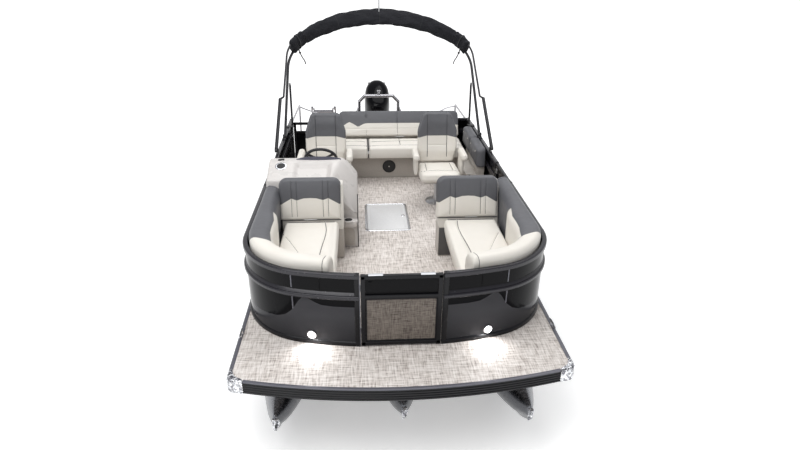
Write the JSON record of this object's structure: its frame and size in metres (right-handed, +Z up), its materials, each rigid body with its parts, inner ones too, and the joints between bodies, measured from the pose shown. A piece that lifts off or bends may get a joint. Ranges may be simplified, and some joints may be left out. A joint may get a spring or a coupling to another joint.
{
  "type": "pontoon_boat",
  "caption": "Pontoon boat with fenced deck, bow lounges, helm console, swivel chairs, stern bench, folded bimini, ladder, tow bar and tilted outboard",
  "frame": {"origin": "on the floor under the keels, midway along and across the boat", "axes": "X across the boat to port, Y along the boat from bow to stern, Z up"},
  "size_m": [2.5988, 7.2951, 3.115],
  "materials": {
    "tube_metal": "dull brushed",
    "frame_metal": "satin",
    "floor_vinyl": "woven vinyl, cross-hatched",
    "fence_black": "gloss",
    "gate_panel": "woven panel in a black frame",
    "lamp_white": "clear bright",
    "lid_grey": "satin",
    "seat_shell": "fine grained",
    "upholstery_cream": "soft vinyl",
    "upholstery_charcoal": "soft vinyl",
    "console_white": "gelcoat",
    "screen_tint": "tinted",
    "black_plastic": "moulded",
    "bow_tube": "satin dark grey",
    "boot_fabric": "wrinkled canvas",
    "stainless": "polished",
    "motor_black": "semi-gloss",
    "motor_gloss": "gloss",
    "engine_iron": "plain",
    "prop_metal": "semi-gloss"
  },
  "bodies": {
    "hull": {"starboard_pontoon": "tube_metal", "center_pontoon": "tube_metal", "port_pontoon": "tube_metal", "cross_members": "frame_metal", "deck": "floor_vinyl", "deck_trim": "fence_black", "deck_castings": "frame_metal", "hatch_frame": "frame_metal", "bow_fence_starboard": "fence_black", "bow_fence_port": "fence_black", "side_fence_starboard": "fence_black", "side_fence_port": "fence_black", "stern_fence": "fence_black", "docking_lights": "lamp_white", "lounge_base_starboard": "seat_shell", "lounge_back_starboard": "upholstery_charcoal", "lounge_pads_starboard": "upholstery_cream", "lounge_base_port": "seat_shell", "lounge_back_port": "upholstery_charcoal", "lounge_pads_port": "upholstery_cream", "helm_console": "console_white", "windscreen": "screen_tint", "chair_pedestals": "frame_metal", "bench_base": "seat_shell", "bench_back": "upholstery_charcoal", "bimini_mounts": "frame_metal", "tow_bar": "stainless", "stern_rails": "stainless", "ladder_brackets": "stainless", "transom_pod": "motor_black", "outboard_clamp": "motor_black"},
    "hatch_lid": {"hatch_lid": "lid_grey"},
    "bow_gate": {"bow_gate": "gate_panel"},
    "side_gate": {"side_gate": "fence_black"},
    "stern_gate": {"stern_gate": "fence_black"},
    "lounge_seat_starboard": {"lounge_seat_starboard": "upholstery_cream"},
    "lounge_seat_port": {"lounge_seat_port": "upholstery_cream"},
    "bench_seat": {"bench_seat": "upholstery_cream"},
    "steering_wheel": {"steering_wheel": "black_plastic"},
    "helm_chair": {"helm_chair_frame": "black_plastic", "helm_chair_cushions": "upholstery_cream"},
    "companion_chair": {"companion_chair_frame": "black_plastic", "companion_chair_cushions": "upholstery_cream"},
    "bimini": {"bimini_bows": "bow_tube", "bimini_boot": "boot_fabric", "anchor_light": "lamp_white"},
    "bimini_front_legs": {"bimini_front_legs": "bow_tube"},
    "bimini_struts": {"bimini_struts": "frame_metal"},
    "ladder_upper": {"ladder_upper": "stainless"},
    "ladder_lower": {"ladder_lower": "stainless"},
    "swivel": {"outboard_swivel": "motor_black"},
    "motor": {"outboard_leg": "motor_black", "outboard_cowl": "motor_gloss", "outboard_powerhead": "engine_iron"},
    "propeller": {"propeller": "prop_metal"}
  },
  "joints": [
    {"name": "hatch_lid_hinge", "type": "hinge", "parent": "hull", "child": "hatch_lid", "pos_m": [-0.232, -0.707, 0.791], "axis": [0, -1, 0], "range_deg": [0, 100]},
    {"name": "bow_gate_hinge", "type": "hinge", "parent": "hull", "child": "bow_gate", "pos_m": [-0.316, -3.109, 1.085], "axis": [0, 0, 1], "range_deg": [0, 90]},
    {"name": "side_gate_hinge", "type": "hinge", "parent": "hull", "child": "side_gate", "pos_m": [1.241, -1.287, 1.085], "axis": [0, 0, 1], "range_deg": [0, 90]},
    {"name": "stern_gate_hinge", "type": "hinge", "parent": "hull", "child": "stern_gate", "pos_m": [-1.242, 1.223, 1.085], "axis": [0, 0, -1], "range_deg": [0, 90]},
    {"name": "starboard_lounge_lid", "type": "hinge", "parent": "hull", "child": "lounge_seat_starboard", "pos_m": [-0.791, -1.706, 1.229], "axis": [-1, 0, 0], "range_deg": [0, 80]},
    {"name": "port_lounge_lid", "type": "hinge", "parent": "hull", "child": "lounge_seat_port", "pos_m": [0.791, -1.706, 1.229], "axis": [-1, 0, 0], "range_deg": [0, 80]},
    {"name": "bench_lid", "type": "hinge", "parent": "hull", "child": "bench_seat", "pos_m": [0.256, 0.839, 1.289], "axis": [-1, 0, 0], "range_deg": [0, 80]},
    {"name": "wheel_turn", "type": "hinge", "parent": "hull", "child": "steering_wheel", "pos_m": [-0.725, -0.815, 1.545], "axis": [0, 0.8192, 0.5736], "range_deg": [-720, 720]},
    {"name": "helm_chair_swivel", "type": "hinge", "parent": "hull", "child": "helm_chair", "pos_m": [-0.71, -0.255, 1.085], "axis": [0, 0, 1], "continuous": true},
    {"name": "companion_chair_swivel", "type": "hinge", "parent": "hull", "child": "companion_chair", "pos_m": [0.65, -0.255, 1.085], "axis": [0, 0, 1], "continuous": true},
    {"name": "bimini_raise", "type": "hinge", "parent": "hull", "child": "bimini", "pos_m": [0, 0.275, 1.475], "axis": [1, 0, 0], "range_deg": [0, 50]},
    {"name": "bimini_front_legs_turn", "type": "hinge", "parent": "hull", "child": "bimini_front_legs", "pos_m": [0, -0.305, 1.475], "axis": [1, 0, 0], "range_deg": [0, 20]},
    {"name": "bimini_struts_turn", "type": "hinge", "parent": "bimini", "child": "bimini_struts", "pos_m": [0, 0.87877, 1.99985], "axis": [1, 0, 0], "range_deg": [-46, 0]},
    {"name": "ladder_swing", "type": "hinge", "parent": "hull", "child": "ladder_upper", "pos_m": [-0.87, 2.501, 0.815], "axis": [-1, 0, 0], "range_deg": [0, 200]},
    {"name": "ladder_fold", "type": "hinge", "parent": "ladder_upper", "child": "ladder_lower", "pos_m": [-0.87, 2.26989, 1.32561], "axis": [-1, 0, 0], "range_deg": [0, 180]},
    {"name": "motor_tilt", "type": "hinge", "parent": "hull", "child": "swivel", "pos_m": [0, 2.815, 0.725], "axis": [1, 0, 0], "range_deg": [-32, 33]},
    {"name": "motor_steer", "type": "hinge", "parent": "swivel", "child": "motor", "pos_m": [0, 2.95809, 0.63754], "axis": [0, -0.5299, 0.848], "range_deg": [-30, 30]},
    {"name": "propeller_turn", "type": "hinge", "parent": "motor", "child": "propeller", "pos_m": [0, 3.55568, 0.26807], "axis": [0, 0.848, 0.5299], "continuous": true}
  ],
  "couplings": [
    {"joint": "wheel_turn", "follows": "motor_steer", "ratio": -24},
    {"joint": "bimini_front_legs_turn", "follows": "bimini_raise", "ratio": 0.4},
    {"joint": "bimini_struts_turn", "follows": "bimini_raise", "ratio": -0.92}
  ]
}
